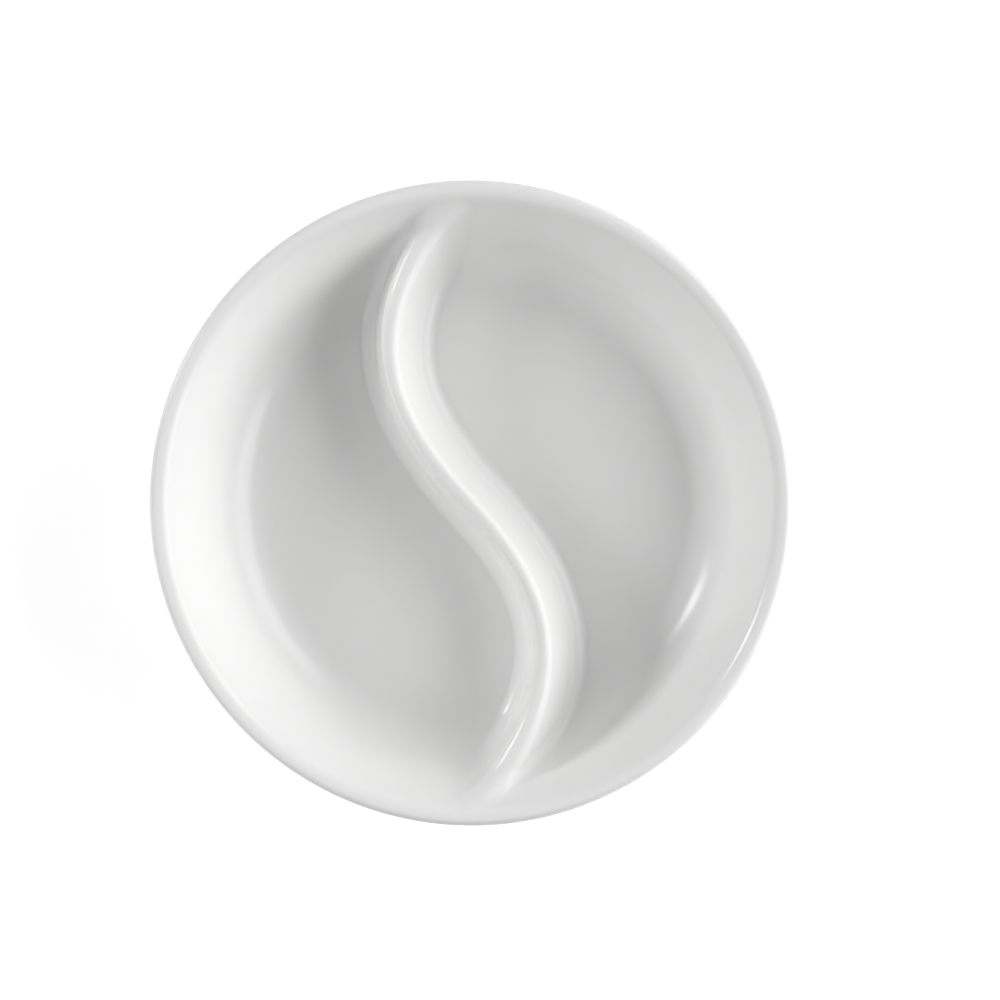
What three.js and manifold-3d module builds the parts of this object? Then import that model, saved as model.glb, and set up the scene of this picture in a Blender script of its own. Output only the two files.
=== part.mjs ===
// A round porcelain dish parted in two by an S-shaped divider, standing on a foot ring.
// Millimetres, +Z up, origin in the middle of the foot's underside.
import * as THREE from 'three';
import { mergeVertices } from 'three/addons/utils/BufferGeometryUtils.js';
import Module from 'manifold-3d';

// The shell: one wall of even thickness, bent into floor, cove and sloping side.
const rimDiameter = 152;
const overallHeight = 36;
const wallThickness = 4.7;
const wallSlopeDegrees = 60;
const coveRadius = 14;

// The foot ring under the flat of the floor.
const footHeight = 4.8;
const footInset = 3.5;
const footTopWidth = 6.5;
const footBottomWidth = 4.6;
const footEdgeRadius = 1;

// The divider: its section, then the S it follows.
const crestDrop = 7;
const crestEndRadius = 10;
const crestRadius = 2.3;
const draftDegrees = 5.5;
const blendRadius = 4.2;
const endBlendRadius = 6;
const lipBlendRadius = 2.4;
const lipBlendReach = 12;
const skirtEdge = 0.9;
const slipGap = 0.3;
const shiftToBack = 0.9;
const shiftToLeft = 1.4;
// Half of the S from the middle of the dish to the rim, as a cubic curve in parts of the rim's radius.
const halfCurve = [[0, 0], [0.189, 0.207], [0.432, 0.511], [-0.007, 0.997]];

// Fineness of the facets.
const turnSegments = 96;
const arcDivisions = 4;
const crestSegments = 8;
const flankSegments = 12;
const runSegments = 46;
const endSegments = 14;
const endRun = 16;
const mergeTolerance = 1e-4;

// Values that follow from the sizes.
const rimRadius = rimDiameter / 2;
const lipRadius = wallThickness / 2;
const slope = THREE.MathUtils.degToRad(wallSlopeDegrees);
const draft = THREE.MathUtils.degToRad(draftDegrees);
const floorTop = footHeight + wallThickness;
const lipCentre = new THREE.Vector2(rimRadius - lipRadius, overallHeight - lipRadius);
const intoClay = new THREE.Vector2(Math.sin(slope), -Math.cos(slope));
// The cove and the lip both touch the straight wall, which leaves one radius for the flat of the floor.
const floorRadius = lipCentre.x - (lipRadius + coveRadius) / Math.sin(slope)
  + (floorTop + coveRadius - lipCentre.y) / Math.tan(slope);
const coveCentre = new THREE.Vector2(floorRadius, floorTop + coveRadius);
const crestTop = overallHeight - crestDrop;
const crestCentre = crestTop - crestRadius;
// Towards its ends the crest rises on an arc that ends flush with the wall. The arc starts at this radius.
const riseStart = lipCentre.x - lipRadius / Math.sin(slope) + (crestTop - lipCentre.y) / Math.tan(slope)
  - crestEndRadius * Math.tan(slope / 2);

const wasm = await Module();
wasm.setup();

const down = -Math.PI / 2;
const up = Math.PI / 2;

// A point on the straight wall beside the lip, at a depth in the clay below the inner face.
function wallTop(depth) {
  return lipCentre.clone().addScaledVector(intoClay, depth - lipRadius);
}

function revolve(path) {
  const geometry = new THREE.LatheGeometry(path.getPoints(arcDivisions), turnSegments);
  return geometry.rotateX(Math.PI / 2);
}

function shellGeometry() {
  const outerTop = wallTop(wallThickness);
  const path = new THREE.Path();
  path.moveTo(0, footHeight);
  path.lineTo(floorRadius, footHeight);
  path.absarc(coveCentre.x, coveCentre.y, coveRadius + wallThickness, down, down + slope, false);
  path.lineTo(outerTop.x, outerTop.y);
  path.absarc(lipCentre.x, lipCentre.y, lipRadius, down + slope, up, false);
  path.absarc(lipCentre.x, lipCentre.y, lipRadius, up, up + slope, false);
  path.absarc(coveCentre.x, coveCentre.y, coveRadius, down + slope, down, true);
  path.lineTo(0, floorTop);
  return revolve(path);
}

function footGeometry() {
  const outer = floorRadius - footInset;
  const taper = (footTopWidth - footBottomWidth) / 2;
  const inner = outer - footTopWidth;
  const path = new THREE.Path();
  path.moveTo(inner, footHeight);
  path.lineTo(inner + taper, footEdgeRadius);
  path.quadraticCurveTo(inner + taper, 0, inner + taper + footEdgeRadius, 0);
  path.lineTo(outer - taper - footEdgeRadius, 0);
  path.quadraticCurveTo(outer - taper, 0, outer - taper, footEdgeRadius);
  path.lineTo(outer, footHeight);
  path.lineTo(inner, footHeight);
  return revolve(path);
}

// The room inside the shell, smaller than it by the slip gap, except on the floor where the divider stands.
function cavityGeometry() {
  const top = wallTop(-slipGap);
  const path = new THREE.Path();
  path.moveTo(0, floorTop);
  path.lineTo(floorRadius, floorTop);
  path.absarc(coveCentre.x, coveCentre.y, coveRadius - slipGap, down, down + slope, false);
  path.lineTo(top.x, top.y);
  path.lineTo(top.x, overallHeight);
  path.lineTo(0, overallHeight);
  return revolve(path);
}

// Clear distance from a point to the inside of the shell.
function distanceToShell(point) {
  const offset = new THREE.Vector2(Math.hypot(point.x, point.y), point.z).sub(coveCentre);
  if (offset.x < 0) return coveRadius + offset.y;
  const aboveCove = offset.x * Math.cos(slope) + offset.y * Math.sin(slope) > 0;
  return coveRadius - (aboveCove ? offset.dot(intoClay) : offset.length());
}

// The centre line of the divider, from the front rim to the back rim.
class SCurve extends THREE.Curve {
  constructor() {
    super();
    const points = halfCurve.map(([x, y]) => new THREE.Vector2(x, y).multiplyScalar(rimRadius));
    this.half = new THREE.CubicBezierCurve(...points);
  }

  getPoint(t, target = new THREE.Vector3()) {
    const side = t < 0.5 ? 1 : -1;
    const flat = this.half.getPoint(Math.abs(2 * t - 1));
    return target.set(side * flat.x - shiftToLeft, shiftToBack - side * flat.y, 0);
  }
}

// The section over the crest from one flank to the other. Share says how much of the spread a point takes, and
// lift how much of the crest's rise.
function dividerSection() {
  const flankTop = crestCentre + crestRadius * Math.sin(draft);
  const flankBottom = floorTop - slipGap;
  const flank = (side, step) => {
    const height = THREE.MathUtils.lerp(flankBottom, flankTop, (step / flankSegments) ** 2);
    const across = side * (crestRadius * Math.cos(draft) + (flankTop - height) * Math.tan(draft));
    const lift = (height - flankBottom) / (flankTop - flankBottom);
    return { across, height, share: side, lift };
  };
  const section = [];
  for (let i = 0; i < flankSegments; i += 1) section.push(flank(-1, i));
  for (let i = 0; i <= crestSegments; i += 1) {
    const angle = THREE.MathUtils.lerp(Math.PI - draft, draft, i / crestSegments);
    const across = crestRadius * Math.cos(angle);
    const height = crestCentre + crestRadius * Math.sin(angle);
    section.push({ across, height, share: across / crestRadius, lift: 1 });
  }
  for (let i = flankSegments - 1; i >= 0; i -= 1) section.push(flank(1, i));
  return section;
}

// How far a flank of the divider spreads near the shell, so that a round corner joins the two. The corner is
// tight beside the lip.
function spreadNear(point, fullRadius) {
  const openShare = THREE.MathUtils.smoothstep(overallHeight - point.z, 0, lipBlendReach);
  const radius = THREE.MathUtils.lerp(lipBlendRadius, fullRadius, openShare);
  const clear = THREE.MathUtils.clamp(distanceToShell(point), skirtEdge, radius);
  return radius - Math.sqrt(radius ** 2 - (radius - clear) ** 2);
}

// The corner grows as the wall rises, on the side where divider and wall stand open to each other.
function wideRadiusAt(centre) {
  const share = THREE.MathUtils.smoothstep(centre.length(), floorRadius - blendRadius, floorRadius + coveRadius);
  return THREE.MathUtils.lerp(blendRadius, endBlendRadius, share);
}

// How far the crest has risen where its centre line is at this place.
function riseAt(centre) {
  const past = THREE.MathUtils.clamp(centre.length() - riseStart, 0, crestEndRadius * Math.sin(slope));
  return crestEndRadius - Math.sqrt(crestEndRadius ** 2 - past ** 2);
}

// Places along the divider, close together at both ends where it flares into the wall.
function stations(curve) {
  const end = endRun / curve.getLength();
  const first = [];
  for (let i = 0; i < endSegments; i += 1) first.push(end * i / endSegments);
  const middle = [];
  for (let i = 0; i <= runSegments; i += 1) middle.push(end + (1 - 2 * end) * i / runSegments);
  return [...first, ...middle, ...first.map((t) => 1 - t).reverse()];
}

// A skin over rings of points, closed between the last and first point of each ring and at both ends.
function loft(rings) {
  const size = rings[0].length;
  const indices = [];
  for (let r = 0; r + 1 < rings.length; r += 1) {
    for (let p = 0; p < size; p += 1) {
      const here = r * size + p;
      const next = r * size + (p + 1) % size;
      indices.push(here, next, here + size, next, next + size, here + size);
    }
  }
  const last = (rings.length - 1) * size;
  for (let p = 1; p + 1 < size; p += 1) {
    indices.push(0, p + 1, p);
    indices.push(last, last + p, last + p + 1);
  }
  const geometry = new THREE.BufferGeometry().setFromPoints(rings.flat());
  return geometry.setIndex(indices);
}

function dividerGeometry() {
  const curve = new SCurve();
  const section = dividerSection();
  const upwards = new THREE.Vector3(0, 0, 1);
  const rings = stations(curve).map((t) => {
    const centre = curve.getPointAt(t);
    const sideways = new THREE.Vector3().crossVectors(curve.getTangentAt(t), upwards).normalize();
    const rise = riseAt(centre);
    const wideRadius = wideRadiusAt(centre);
    return section.map(({ across, height, share, lift }) => {
      const point = centre.clone().addScaledVector(sideways, across).setZ(height + rise * lift);
      const isWide = share * (t - 0.5) > 0;
      return point.addScaledVector(sideways, share * spreadNear(point, isWide ? wideRadius : blendRadius));
    });
  });
  return fromManifold(toManifold(loft(rings)).intersect(toManifold(cavityGeometry())));
}

function toManifold(geometry) {
  const bare = geometry.clone();
  bare.deleteAttribute('normal');
  bare.deleteAttribute('uv');
  const merged = mergeVertices(bare, mergeTolerance);
  const corners = merged.index.array;
  const triVerts = [];
  for (let i = 0; i < corners.length; i += 3) {
    const [a, b, c] = corners.slice(i, i + 3);
    if (a !== b && b !== c && c !== a) triVerts.push(a, b, c);
  }
  const vertProperties = new Float32Array(merged.attributes.position.array);
  return new wasm.Manifold(new wasm.Mesh({ numProp: 3, vertProperties, triVerts: new Uint32Array(triVerts) }));
}

function fromManifold(solid) {
  const { vertProperties, triVerts } = solid.getMesh();
  const geometry = new THREE.BufferGeometry();
  geometry.setAttribute('position', new THREE.BufferAttribute(new Float32Array(vertProperties), 3));
  geometry.setIndex(new THREE.BufferAttribute(new Uint32Array(triVerts), 1));
  geometry.computeVertexNormals();
  return geometry;
}

function piece(name, geometry, color, roughness) {
  const material = new THREE.MeshStandardMaterial({ color, roughness, metalness: 0 });
  const mesh = new THREE.Mesh(geometry, material);
  mesh.name = name;
  return mesh;
}

const dish = new THREE.Group();
dish.name = 'divided_dish';
dish.add(piece('dish_shell', shellGeometry(), 0xf3f3f1, 0.15));
dish.add(piece('s_divider', dividerGeometry(), 0xf4f4f2, 0.15));
dish.add(piece('foot_ring', footGeometry(), 0xe6e1d6, 0.85));

export default dish;
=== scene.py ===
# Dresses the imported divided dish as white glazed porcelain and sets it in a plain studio. Metres, +Z up.
import math

import bpy
import numpy as np
from mathutils import Matrix, Vector


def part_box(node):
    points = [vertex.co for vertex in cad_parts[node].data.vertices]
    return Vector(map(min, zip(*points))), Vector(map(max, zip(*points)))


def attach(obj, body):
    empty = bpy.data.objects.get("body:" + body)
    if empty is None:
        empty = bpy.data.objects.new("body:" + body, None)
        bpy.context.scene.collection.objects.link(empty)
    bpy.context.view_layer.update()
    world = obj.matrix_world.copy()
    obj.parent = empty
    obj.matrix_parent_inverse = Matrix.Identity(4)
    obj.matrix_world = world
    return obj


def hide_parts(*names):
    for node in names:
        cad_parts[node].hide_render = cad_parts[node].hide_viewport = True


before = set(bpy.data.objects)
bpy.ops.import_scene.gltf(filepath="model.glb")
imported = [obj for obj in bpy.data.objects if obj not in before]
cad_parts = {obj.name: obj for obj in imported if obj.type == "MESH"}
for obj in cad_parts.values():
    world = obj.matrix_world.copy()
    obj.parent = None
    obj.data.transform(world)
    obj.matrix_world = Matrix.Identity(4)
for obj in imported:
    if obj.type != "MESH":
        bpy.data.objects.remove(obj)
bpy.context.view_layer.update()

MM = 0.001

# Sizes that the frame gives.
shell_low, shell_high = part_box("dish_shell")
divider_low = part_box("s_divider")[0]
foot_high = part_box("foot_ring")[1]
RIM_RADIUS = shell_high.x
RIM_TOP = shell_high.z
FOOT_TOP = shell_low.z
FLOOR_TOP = divider_low.z
FOOT_OUTER = foot_high.x

# Sizes that the frame can't give, as in the part.
WALL_SLOPE = math.radians(60)
COVE_RADIUS = 14 * MM
CREST_DROP = 7 * MM
FOOT_TOP_WIDTH = 6.5 * MM
FOOT_BOTTOM_WIDTH = 4.6 * MM
FOOT_EDGE_RADIUS = 1.0 * MM
SHIFT_TO_BACK = 0.9 * MM
SHIFT_TO_LEFT = 1.4 * MM
# Half of the S from the middle of the dish to the rim, as a cubic curve in parts of the rim's radius.
HALF_CURVE = ((0, 0), (0.189, 0.207), (0.432, 0.511), (-0.007, 0.997))

# The glazed lip has a tight outer edge, over an easy round that ends the outer wall.
LIP_EDGE_RADIUS = 1.4 * MM
LIP_SIDE_RADIUS = 5 * MM

# The glazed divider: its section and the corner that it makes with the shell.
CREST_RADIUS = 1.8 * MM
DRAFT = math.radians(12)
BLEND_RADIUS = 3.1 * MM
# The crest widens by this much from this radius of the dish to its ends.
CREST_FLARE = 1.4 * MM
CREST_FLARE_START = 28 * MM
# The crest turns up the wall, stands clear of it and then sinks in under the lip.
CREST_TURN = 6 * MM
CREST_STAND = 3.0 * MM
CREST_SINK = 4 * MM
CREST_FADE_START = 66.5 * MM
DIVIDER_END_INSET = 2.2 * MM
# The skirt beside the corner dips into the shell, and the underside lies in it.
SKIRT = 1.0 * MM
SKIRT_SINK = 0.15 / MM
SKIRT_DEPTH = 0.8 * MM
DIVIDER_BED = 1.2 * MM

# The foot flares where it meets the shell.
FOOT_FLARE = 1.2 * MM

# The glaze: white clay under it with faint clouds, a haze in its gloss and a soft ripple.
GLAZE_DEEP = (0.845, 0.845, 0.842, 1)
GLAZE_PALE = (0.875, 0.875, 0.872, 1)
GLAZE_ROUGHNESS = (0.2, 0.24)
GLAZE_IOR = 1.5
GLAZE_SPECULAR = 0.35
CLOUD_SCALE = 28
HAZE_SCALE = 160
RIPPLE_SCALE = 120
RIPPLE_STRENGTH = 0.05
RIPPLE_DEPTH = 0.2 * MM
# The middle range of a noise value, where nearly all of it lies.
NOISE_SPAN = (0.3, 0.7)

# The foot: bare ground clay below and glaze above an uneven line. Its two values of roughness are those of
# the clay and of the glaze.
CLAY_DARK = (0.70, 0.665, 0.60, 1)
CLAY_LIGHT = (0.83, 0.80, 0.75, 1)
FOOT_ROUGHNESS = (0.8, 0.11)
GRAIN_SCALE = 900
GRAIN_ROUGHNESS = 0.7
PIT_SCALE = 1400
PIT_STRENGTH = 0.25
PIT_DEPTH = 0.06 * MM
GLAZE_LINE = 1.5 * MM
GLAZE_LINE_SOFTNESS = 0.25 * MM
GLAZE_LINE_WANDER = 0.6 * MM
GLAZE_LINE_SCALE = 90

# Fineness of the meshes.
SHELL_SEGMENTS = 384
FOOT_SEGMENTS = 320
CURVE_SAMPLES = 2400
DIVIDER_ROWS = 290
ROW_CROWDING = 0.6
CREST_COLUMNS = 14
FLANK_COLUMNS = 26
CORNER_COLUMNS = 36
SKIRT_COLUMNS = 4
HALVINGS = 40
SEARCH_MARGIN = 1 * MM
SAME_POINT = 1e-7

# Directions in a section, whose places are (radius, height).
UP = math.pi / 2
DOWN = -math.pi / 2
INWARDS = math.pi
OUTWARDS = 0

# Values that follow from the sizes.
WALL = FLOOR_TOP - FOOT_TOP
UP_WALL = np.array((math.cos(WALL_SLOPE), math.sin(WALL_SLOPE)))
INTO_WALL = np.array((math.sin(WALL_SLOPE), -math.cos(WALL_SLOPE)))
WALL_MIDDLE_TOP = np.array((RIM_RADIUS - WALL / 2, RIM_TOP - WALL / 2))
FLOOR_RADIUS = (
    WALL_MIDDLE_TOP[0]
    - (WALL / 2 + COVE_RADIUS) / math.sin(WALL_SLOPE)
    + (FLOOR_TOP + COVE_RADIUS - WALL_MIDDLE_TOP[1]) / math.tan(WALL_SLOPE)
)
COVE = np.array((FLOOR_RADIUS, FLOOR_TOP + COVE_RADIUS))
# The inside of the lip is one round from the straight wall to the crown.
CROWN = np.array((RIM_RADIUS - LIP_EDGE_RADIUS, RIM_TOP))
LIP_RADIUS = ((CROWN - WALL_MIDDLE_TOP) @ INTO_WALL + WALL / 2) / (1 - math.cos(WALL_SLOPE))
LIP = CROWN - (0, LIP_RADIUS)
WALL_LENGTH = (LIP - COVE) @ UP_WALL
CREST_TOP = RIM_TOP - CREST_DROP
CREST_CENTRE = CREST_TOP - CREST_RADIUS
DIVIDER_END_RADIUS = RIM_RADIUS - DIVIDER_END_INSET

# The photograph's frame: where the rim's circle lies in it, in pixels.
PHOTO_WIDTH = 1000
RIM_CENTRE_PIXEL = (469.7, 503.2)
RIM_RADIUS_PIXELS = 322.8
CAMERA_DISTANCE = 3.0
CAMERA_LEAN_RIGHT = math.radians(5.5)
CAMERA_LEAN_BACK = math.radians(1.0)
SENSOR_WIDTH = 36.0

# The studio: soft lamps round the dish, each with its azimuth, elevation, width, height and power.
LAMP_DISTANCE = 1.2
LAMPS = (
    ("key_panel", 11, 25, 1.8, 0.96, 19.8),
    ("front_panel", -35, 24, 1.0, 0.64, 1.0),
    ("back_panel", 90, 30, 0.87, 0.64, 0.9),
    ("high_panel", 185, 62, 1.12, 0.64, 1.8),
    ("left_panel", 190, 45, 1.12, 0.76, 1.8),
    ("low_left_panel", 200, 18, 1.12, 0.34, 1.5),
    ("left_front_panel", 240, 35, 0.87, 0.64, 1.7),
    ("left_lamp", 158, 24, 0.2, 0.38, 4.7),
)
WORLD_FILL = 0.015
WHITE = 1.0
# The floor is a hair below the foot, so that no two faces share a plane. It glows white where it is seen,
# with a grey that keeps the shadow, and is plain paper to all other light.
FLOOR_HALF_WIDTH = 3.0
FLOOR_DROP = 0.05 * MM
FLOOR_GLOW = 0.78
SHADOW_GREY = (0.35, 0.35, 0.35, 1)
PAPER_WHITE = (0.8, 0.8, 0.8, 1)


# Shapes

def arc(centre, radius, start, end, steps):
    angles = np.linspace(start, end, steps + 1)
    return np.column_stack((centre[0] + radius * np.cos(angles), centre[1] + radius * np.sin(angles)))


def line(start, end, steps):
    share = np.linspace(0, 1, steps + 1)[:, None]
    return np.asarray(start) * (1 - share) + np.asarray(end) * share


def chain(*runs):
    """Joins runs of points into one profile and leaves out points that repeat."""
    points = np.vstack(runs)
    apart = np.linalg.norm(np.diff(points, axis=0), axis=1) > SAME_POINT
    return points[np.r_[True, apart]]


def mesh_piece(name, vertices, faces):
    mesh = bpy.data.meshes.new(name)
    mesh.from_pydata([tuple(v) for v in vertices], [], [tuple(f) for f in faces])
    mesh.validate()
    mesh.polygons.foreach_set("use_smooth", [True] * len(mesh.polygons))
    piece = bpy.data.objects.new(name, mesh)
    bpy.context.collection.objects.link(piece)
    return piece


def revolve(name, profile, segments, on_axis):
    """Turns a profile about Z. A profile on the axis starts and ends there. Any other closes on itself."""
    rings = profile[1:-1] if on_axis else profile[:-1]
    turns = np.linspace(0, 2 * math.pi, segments, endpoint=False)
    around = np.column_stack((np.cos(turns), np.sin(turns)))
    vertices = [(radius * x, radius * y, height) for radius, height in rings for x, y in around]
    neighbours = [(k, (k + 1) % segments) for k in range(segments)]
    last = len(rings) - 1
    faces = []
    for ring in range(last if on_axis else len(rings)):
        here = ring * segments
        above = (ring + 1) % len(rings) * segments
        faces += [(here + k, here + n, above + n, above + k) for k, n in neighbours]
    if on_axis:
        first_pole = len(vertices)
        last_pole = first_pole + 1
        vertices += [(0, 0, profile[0][1]), (0, 0, profile[-1][1])]
        last_ring = last * segments
        for k, n in neighbours:
            faces += [(first_pole, n, k), (last_pole, last_ring + k, last_ring + n)]
    return mesh_piece(name, vertices, faces)


def make_shell():
    inner_top = LIP - INTO_WALL * LIP_RADIUS
    inner_foot = COVE + INTO_WALL * COVE_RADIUS
    outer_foot = COVE + INTO_WALL * (COVE_RADIUS + WALL)
    # The outer wall would reach the rim's radius at this height. A round turns it upright there.
    crossing = outer_foot[1] + (RIM_RADIUS - outer_foot[0]) * math.tan(WALL_SLOPE)
    side_height = crossing + LIP_SIDE_RADIUS * math.tan((UP - WALL_SLOPE) / 2)
    side = np.array((RIM_RADIUS - LIP_SIDE_RADIUS, side_height))
    edge = CROWN - (0, LIP_EDGE_RADIUS)
    lean = DOWN + WALL_SLOPE
    profile = chain(
        line((0, FOOT_TOP), (FLOOR_RADIUS, FOOT_TOP), steps=12),
        arc(COVE, COVE_RADIUS + WALL, DOWN, lean, steps=40),
        line(outer_foot, side + INTO_WALL * LIP_SIDE_RADIUS, steps=10),
        arc(side, LIP_SIDE_RADIUS, lean, OUTWARDS, steps=12),
        arc(edge, LIP_EDGE_RADIUS, OUTWARDS, UP, steps=20),
        arc(LIP, LIP_RADIUS, UP, UP + WALL_SLOPE, steps=32),
        line(inner_top, inner_foot, steps=14),
        arc(COVE, COVE_RADIUS, lean, DOWN, steps=48),
        line((FLOOR_RADIUS, FLOOR_TOP), (0, FLOOR_TOP), steps=16),
    )
    return revolve("glazed_shell", profile, SHELL_SEGMENTS, on_axis=True)


def make_foot():
    taper = (FOOT_TOP_WIDTH - FOOT_BOTTOM_WIDTH) / 2
    outer = FOOT_OUTER
    inner = FOOT_OUTER - FOOT_TOP_WIDTH
    edge = FOOT_EDGE_RADIUS
    flare_start = FOOT_TOP - FOOT_FLARE
    profile = chain(
        arc((inner - FOOT_FLARE, flare_start), FOOT_FLARE, UP, OUTWARDS, steps=12),
        line((inner, flare_start), (inner + taper, edge), steps=8),
        arc((inner + taper + edge, edge), edge, INWARDS, INWARDS + UP, steps=14),
        line((inner + taper + edge, 0), (outer - taper - edge, 0), steps=8),
        arc((outer - taper - edge, edge), edge, DOWN, OUTWARDS, steps=14),
        line((outer - taper, edge), (outer, flare_start), steps=8),
        arc((outer + FOOT_FLARE, flare_start), FOOT_FLARE, INWARDS, UP, steps=12),
        line((outer + FOOT_FLARE, FOOT_TOP), (inner - FOOT_FLARE, FOOT_TOP), steps=8),
    )
    return revolve("foot_ring_bare", profile, FOOT_SEGMENTS, on_axis=False)


def smooth_step(value, low, high):
    share = np.clip((value - low) / (high - low), 0, 1)
    return share * share * (3 - 2 * share)


def shell_height(radius):
    """Height of the inside of the shell, up to the top of the lip."""
    cove_end = FLOOR_RADIUS + COVE_RADIUS * math.sin(WALL_SLOPE)
    wall_end = LIP[0] - LIP_RADIUS * math.sin(WALL_SLOPE)
    in_cove = np.clip(radius - FLOOR_RADIUS, 0, COVE_RADIUS * math.sin(WALL_SLOPE))
    cove = COVE[1] - np.sqrt(COVE_RADIUS**2 - in_cove**2)
    wall = np.clip(radius - cove_end, 0, wall_end - cove_end) * math.tan(WALL_SLOPE)
    in_lip = np.clip(LIP[0] - radius, 0, LIP_RADIUS * math.sin(WALL_SLOPE))
    lip = np.sqrt(LIP_RADIUS**2 - in_lip**2) - LIP_RADIUS * math.cos(WALL_SLOPE)
    return cove + wall + np.where(radius > wall_end, lip, 0)


def distance_to_shell(radius, height):
    across = radius - COVE[0]
    above = height - COVE[1]
    along = across * UP_WALL[0] + above * UP_WALL[1]
    floor = COVE_RADIUS + above
    cove = COVE_RADIUS - np.hypot(across, above)
    wall = COVE_RADIUS - across * INTO_WALL[0] - above * INTO_WALL[1]
    lip = np.hypot(radius - LIP[0], height - LIP[1]) - LIP_RADIUS
    bowl = np.where(along > WALL_LENGTH, lip, np.where(along > 0, wall, cove))
    return np.where(across < 0, floor, bowl)


def crest_rise(radius):
    """How far the crest has risen. It turns up the wall, stands clear of it and sinks in at the lip."""
    fade = smooth_step(radius, CREST_FADE_START, DIVIDER_END_RADIUS)
    climb = shell_height(radius) + CREST_STAND - (CREST_STAND + CREST_SINK) * fade - CREST_TOP
    near_turn = np.maximum(CREST_TURN - np.abs(climb), 0)
    return np.maximum(climb, 0) + near_turn**2 / (4 * CREST_TURN)


def crest_growth(line_radius):
    """How much the crest has widened where its centre line is at this radius."""
    return CREST_FLARE * smooth_step(line_radius, CREST_FLARE_START, DIVIDER_END_RADIUS)


def distance_to_divider(across, height, rise, growth):
    above = height - CREST_CENTRE - rise + growth
    flank = across * math.cos(DRAFT) + above * math.sin(DRAFT)
    crest = np.hypot(across, above)
    beside_crest = above > across * math.tan(DRAFT)
    return np.where(beside_crest, crest, flank) - CREST_RADIUS - growth


def glazed_height(radius, across, rise, growth):
    """Height of the glaze over divider and shell together, found by halving the span that it lies in."""
    low = np.full_like(radius, FLOOR_TOP - SEARCH_MARGIN)
    high = np.full_like(radius, RIM_TOP + SEARCH_MARGIN)
    for _ in range(HALVINGS):
        middle = (low + high) / 2
        to_divider = distance_to_divider(across, middle, rise, growth)
        to_shell = distance_to_shell(radius, middle)
        nearest = np.maximum(BLEND_RADIUS, np.minimum(to_divider, to_shell))
        rounding = np.hypot(np.maximum(BLEND_RADIUS - to_divider, 0), np.maximum(BLEND_RADIUS - to_shell, 0))
        outside = nearest > rounding
        high = np.where(outside, middle, high)
        low = np.where(outside, low, middle)
    return (low + high) / 2


def s_curve():
    """Points, sideways directions and lengths along the divider's centre line, from front to back."""
    control = np.array(HALF_CURVE) * RIM_RADIUS
    t = np.linspace(0, 1, CURVE_SAMPLES)[:, None]
    half = (
        control[0] * (1 - t) ** 3
        + control[1] * 3 * t * (1 - t) ** 2
        + control[2] * 3 * t**2 * (1 - t)
        + control[3] * t**3
    )
    points = np.vstack((half[:0:-1] * (1, -1), half * (-1, 1))) + (-SHIFT_TO_LEFT, SHIFT_TO_BACK)
    tangent = np.gradient(points, axis=0)
    tangent /= np.linalg.norm(tangent, axis=1)[:, None]
    sideways = np.column_stack((tangent[:, 1], -tangent[:, 0]))
    length = np.r_[0, np.cumsum(np.linalg.norm(np.diff(points, axis=0), axis=1))]
    return points, sideways, length


def divider_columns():
    """Places across the divider, from one skirt over the crest to the other, closest in the corners."""
    foot = (CREST_RADIUS + (CREST_CENTRE - FLOOR_TOP) * math.sin(DRAFT)) / math.cos(DRAFT)
    edge = foot + BLEND_RADIUS / math.cos(DRAFT)
    crest = CREST_RADIUS * math.cos(DRAFT) * np.sin(np.linspace(0, math.pi / 2, CREST_COLUMNS + 1))
    flank = np.linspace(crest[-1], foot, FLANK_COLUMNS + 1)[1:]
    corner = np.linspace(foot, edge, CORNER_COLUMNS + 1)[1:]
    skirt = np.linspace(edge, edge + SKIRT, SKIRT_COLUMNS + 1)[1:]
    half = np.concatenate((crest, flank, corner, skirt))
    return np.concatenate((-half[:0:-1], half))


def divider_rows():
    """Shares of the way along the divider, close together at both ends."""
    share = np.linspace(0, 1, DIVIDER_ROWS)
    return share - ROW_CROWDING * np.sin(2 * math.pi * share) / (2 * math.pi)


def divider_plan():
    """The divider's grid from above: x, y, distance from the centre line, and that line's own radius."""
    points, sideways, length = s_curve()
    line_radius = np.hypot(points[:, 0], points[:, 1])
    growth = crest_growth(line_radius)
    rows = divider_rows()
    tracks = []
    for column in divider_columns():
        across = column + growth * np.clip(column / CREST_RADIUS, -1, 1)
        x, y = (points + sideways * across[:, None]).T
        inside = np.flatnonzero(np.hypot(x, y) < DIVIDER_END_RADIUS)
        start = length[inside[0]]
        end = length[inside[-1]]
        places = start + (end - start) * rows
        tracks.append([np.interp(places, length, values) for values in (x, y, np.abs(across), line_radius)])
    return np.array(tracks).transpose(1, 2, 0)


def closed_sheet(name, x, y, top, bottom):
    """A solid between two heights over a grid of places."""
    count = x.size
    upper = np.stack((x, y, top), axis=-1).reshape(-1, 3)
    lower = np.stack((x, y, bottom), axis=-1).reshape(-1, 3)
    grid = np.arange(count).reshape(x.shape)
    quads = np.stack((grid[:-1, :-1], grid[:-1, 1:], grid[1:, 1:], grid[1:, :-1]), axis=-1).reshape(-1, 4)
    border = np.concatenate((grid[0, :-1], grid[:-1, -1], grid[-1, :0:-1], grid[:0:-1, 0]))
    after = np.roll(border, -1)
    sides = np.column_stack((after, border, border + count, after + count))
    faces = np.vstack((quads, quads[:, ::-1] + count, sides))
    return mesh_piece(name, np.vstack((upper, lower)), faces)


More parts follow.
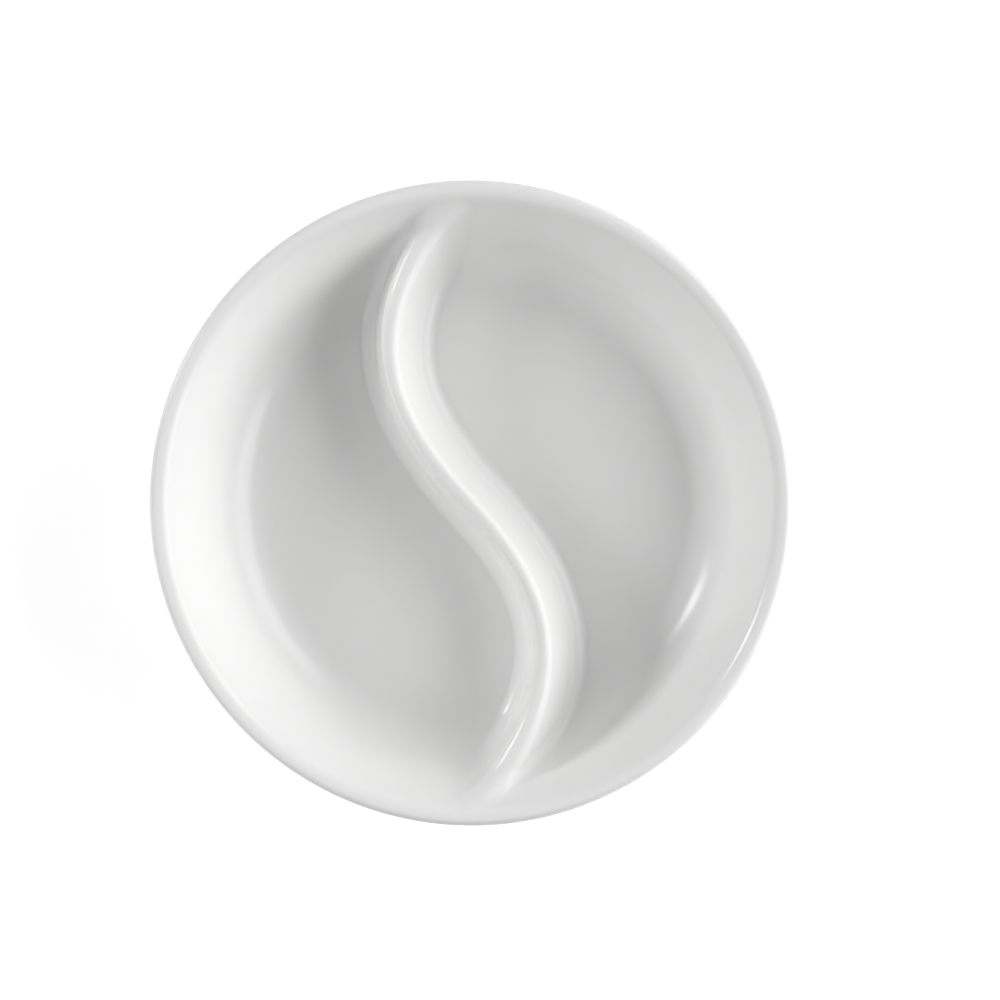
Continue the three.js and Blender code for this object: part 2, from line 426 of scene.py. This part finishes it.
def make_divider():
    x, y, across, line_radius = divider_plan()
    radius = np.hypot(x, y)
    rise = crest_rise(radius)
    growth = crest_growth(line_radius)
    bed = shell_height(radius)
    clear = np.maximum(distance_to_divider(across, bed, rise, growth) - BLEND_RADIUS, 0)
    dip = np.minimum(SKIRT_SINK * clear**2, SKIRT_DEPTH)
    top = glazed_height(radius, across, rise, growth) - dip
    return closed_sheet("glazed_divider", x, y, top, bed - DIVIDER_BED)


# Materials

def new_material(name):
    material = bpy.data.materials.new(name)
    material.use_nodes = True
    return material, material.node_tree.nodes, material.node_tree.links


def new_porcelain(name):
    """A material that reflects as the glaze does, with the coordinates for its patterns."""
    material, nodes, links = new_material(name)
    shader = nodes["Principled BSDF"]
    shader.inputs["IOR"].default_value = GLAZE_IOR
    shader.inputs["Specular IOR Level"].default_value = GLAZE_SPECULAR
    place = nodes.new("ShaderNodeTexCoord").outputs["Object"]
    return material, nodes, links, shader, place


def noise(nodes, links, place, scale, detail, roughness=0.5):
    texture = nodes.new("ShaderNodeTexNoise")
    texture.inputs["Scale"].default_value = scale
    texture.inputs["Detail"].default_value = detail
    texture.inputs["Roughness"].default_value = roughness
    links.new(place, texture.inputs["Vector"])
    return texture.outputs["Fac"]


def map_range(nodes, links, value, source, target, interpolation="LINEAR"):
    """Maps a value from one range to another. Each range is its two ends."""
    mapping = nodes.new("ShaderNodeMapRange")
    mapping.interpolation_type = interpolation
    for socket, end in zip(("From Min", "From Max", "To Min", "To Max"), source + target):
        mapping.inputs[socket].default_value = end
    links.new(value, mapping.inputs["Value"])
    return mapping.outputs["Result"]


def mix_colours(nodes, links, share, first, second):
    """Mixes two colours, each a value or the output of another node."""
    mix = nodes.new("ShaderNodeMix")
    mix.data_type = "RGBA"
    links.new(share, mix.inputs["Factor"])
    for socket, colour in ((mix.inputs["A"], first), (mix.inputs["B"], second)):
        if isinstance(colour, tuple):
            socket.default_value = colour
        else:
            links.new(colour, socket)
    return mix.outputs["Result"]


def ripple(nodes, links, place, scale, strength, depth):
    bump = nodes.new("ShaderNodeBump")
    bump.inputs["Strength"].default_value = strength
    bump.inputs["Distance"].default_value = depth
    links.new(noise(nodes, links, place, scale, detail=2), bump.inputs["Height"])
    return bump.outputs["Normal"]


def any_ray(nodes, links, *kinds):
    """1 for light paths of the named kinds, 0 for all others."""
    path = nodes.new("ShaderNodeLightPath")
    found = path.outputs[kinds[0]]
    for kind in kinds[1:]:
        either = nodes.new("ShaderNodeMath")
        either.operation = "MAXIMUM"
        links.new(found, either.inputs[0])
        links.new(path.outputs[kind], either.inputs[1])
        found = either.outputs["Value"]
    return found


def glaze_tone(nodes, links, place):
    """White porcelain seen through the glaze, faintly clouded."""
    cloud = noise(nodes, links, place, CLOUD_SCALE, detail=3)
    return mix_colours(nodes, links, cloud, GLAZE_DEEP, GLAZE_PALE)


def glaze_material():
    material, nodes, links, shader, place = new_porcelain("porcelain_glaze")
    links.new(glaze_tone(nodes, links, place), shader.inputs["Base Color"])
    haze = noise(nodes, links, place, HAZE_SCALE, detail=4)
    links.new(map_range(nodes, links, haze, NOISE_SPAN, GLAZE_ROUGHNESS), shader.inputs["Roughness"])
    waves = ripple(nodes, links, place, RIPPLE_SCALE, RIPPLE_STRENGTH, RIPPLE_DEPTH)
    links.new(waves, shader.inputs["Normal"])
    return material


def glaze_cover(nodes, links, place):
    """1 where the foot is glazed and 0 where it is bare. The line between wanders up and down."""
    height = nodes.new("ShaderNodeSeparateXYZ")
    links.new(place, height.inputs["Vector"])
    wander = nodes.new("ShaderNodeMath")
    wander.operation = "MULTIPLY_ADD"
    links.new(noise(nodes, links, place, GLAZE_LINE_SCALE, detail=3), wander.inputs[0])
    wander.inputs[1].default_value = GLAZE_LINE_WANDER
    links.new(height.outputs["Z"], wander.inputs[2])
    edge = (GLAZE_LINE, GLAZE_LINE + GLAZE_LINE_SOFTNESS)
    return map_range(nodes, links, wander.outputs["Value"], edge, (0, 1), "SMOOTHSTEP")


def foot_material():
    """Glazed above and ground bare below."""
    material, nodes, links, shader, place = new_porcelain("porcelain_foot")
    cover = glaze_cover(nodes, links, place)
    grain = noise(nodes, links, place, GRAIN_SCALE, detail=5, roughness=GRAIN_ROUGHNESS)
    clay = mix_colours(nodes, links, grain, CLAY_DARK, CLAY_LIGHT)
    tone = glaze_tone(nodes, links, place)
    links.new(mix_colours(nodes, links, cover, clay, tone), shader.inputs["Base Color"])
    links.new(map_range(nodes, links, cover, (0, 1), FOOT_ROUGHNESS), shader.inputs["Roughness"])
    links.new(ripple(nodes, links, place, PIT_SCALE, PIT_STRENGTH, PIT_DEPTH), shader.inputs["Normal"])
    return material


def floor_material():
    """White to the camera and in reflections, with the shadow kept, and plain paper to all other light."""
    material, nodes, links = new_material("studio_floor")
    nodes.remove(nodes["Principled BSDF"])
    shadow_keeper = nodes.new("ShaderNodeBsdfDiffuse")
    shadow_keeper.inputs["Color"].default_value = SHADOW_GREY
    glow = nodes.new("ShaderNodeEmission")
    glow.inputs["Strength"].default_value = FLOOR_GLOW
    white = nodes.new("ShaderNodeAddShader")
    links.new(shadow_keeper.outputs["BSDF"], white.inputs[0])
    links.new(glow.outputs["Emission"], white.inputs[1])
    paper = nodes.new("ShaderNodeBsdfDiffuse")
    paper.inputs["Color"].default_value = PAPER_WHITE
    choice = nodes.new("ShaderNodeMixShader")
    seen = any_ray(nodes, links, "Is Camera Ray", "Is Glossy Ray", "Is Transmission Ray")
    links.new(seen, choice.inputs["Fac"])
    links.new(paper.outputs["BSDF"], choice.inputs[1])
    links.new(white.outputs["Shader"], choice.inputs[2])
    links.new(choice.outputs["Shader"], nodes["Material Output"].inputs["Surface"])
    return material


# Studio

def make_floor():
    half = FLOOR_HALF_WIDTH
    corners = [(x, y, -FLOOR_DROP) for x, y in ((-half, -half), (half, -half), (half, half), (-half, half))]
    floor = mesh_piece("studio_floor", corners, [(0, 1, 2, 3)])
    floor.data.materials.append(floor_material())


def soft_light(name, azimuth, elevation, width, height, power):
    """A flat lamp that faces the dish. Azimuth counts from +X towards +Y. Degrees, metres and watts."""
    around = math.radians(azimuth)
    above = math.radians(elevation)
    way = Vector((math.cos(around) * math.cos(above), math.sin(around) * math.cos(above), math.sin(above)))
    data = bpy.data.lights.new(name, "AREA")
    data.shape = "RECTANGLE"
    data.size = width
    data.size_y = height
    data.energy = power
    lamp = bpy.data.objects.new(name, data)
    lamp.location = way * LAMP_DISTANCE + Vector((0, 0, RIM_TOP))
    lamp.rotation_euler = way.to_track_quat("Z", "Y").to_euler()
    bpy.context.collection.objects.link(lamp)


def make_world():
    """White to the camera, also through clear things, and a faint fill to all other light."""
    world = bpy.data.worlds.new("studio")
    world.use_nodes = True
    nodes = world.node_tree.nodes
    links = world.node_tree.links
    background = nodes["Background"]
    background.inputs["Color"].default_value = (1, 1, 1, 1)
    seen = any_ray(nodes, links, "Is Camera Ray", "Is Transmission Ray")
    links.new(map_range(nodes, links, seen, (0, 1), (WORLD_FILL, WHITE)), background.inputs["Strength"])
    bpy.context.scene.world = world


def make_camera():
    """Looks down on the dish as the photograph does, with the rim's circle at its place in the frame."""
    target = Vector((0, 0, RIM_TOP))
    back = Vector((math.tan(CAMERA_LEAN_RIGHT), math.tan(CAMERA_LEAN_BACK), 1)).normalized()
    right = Vector((0, 1, 0)).cross(back).normalized()
    up = back.cross(right)
    data = bpy.data.cameras.new("photo_camera")
    data.sensor_width = SENSOR_WIDTH
    frame_width = RIM_RADIUS * PHOTO_WIDTH / RIM_RADIUS_PIXELS
    data.lens = SENSOR_WIDTH * CAMERA_DISTANCE / frame_width
    data.shift_x = 0.5 - RIM_CENTRE_PIXEL[0] / PHOTO_WIDTH
    data.shift_y = RIM_CENTRE_PIXEL[1] / PHOTO_WIDTH - 0.5
    camera = bpy.data.objects.new("photo_camera", data)
    turn = Matrix((right, up, back)).transposed().to_4x4()
    camera.matrix_world = Matrix.Translation(target + back * CAMERA_DISTANCE) @ turn
    bpy.context.collection.objects.link(camera)
    bpy.context.scene.camera = camera


glaze = glaze_material()
foot = foot_material()
for make, node, slot, material in (
    (make_shell, "dish_shell", "glaze", glaze),
    (make_divider, "s_divider", "glaze", glaze),
    (make_foot, "foot_ring", "foot", foot),
):
    piece = make()
    piece.data.materials.append(material)
    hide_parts(node)
    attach(piece, "root")

make_floor()
for lamp in LAMPS:
    soft_light(*lamp)
make_world()
make_camera()
bpy.context.scene.view_settings.view_transform = "Standard"
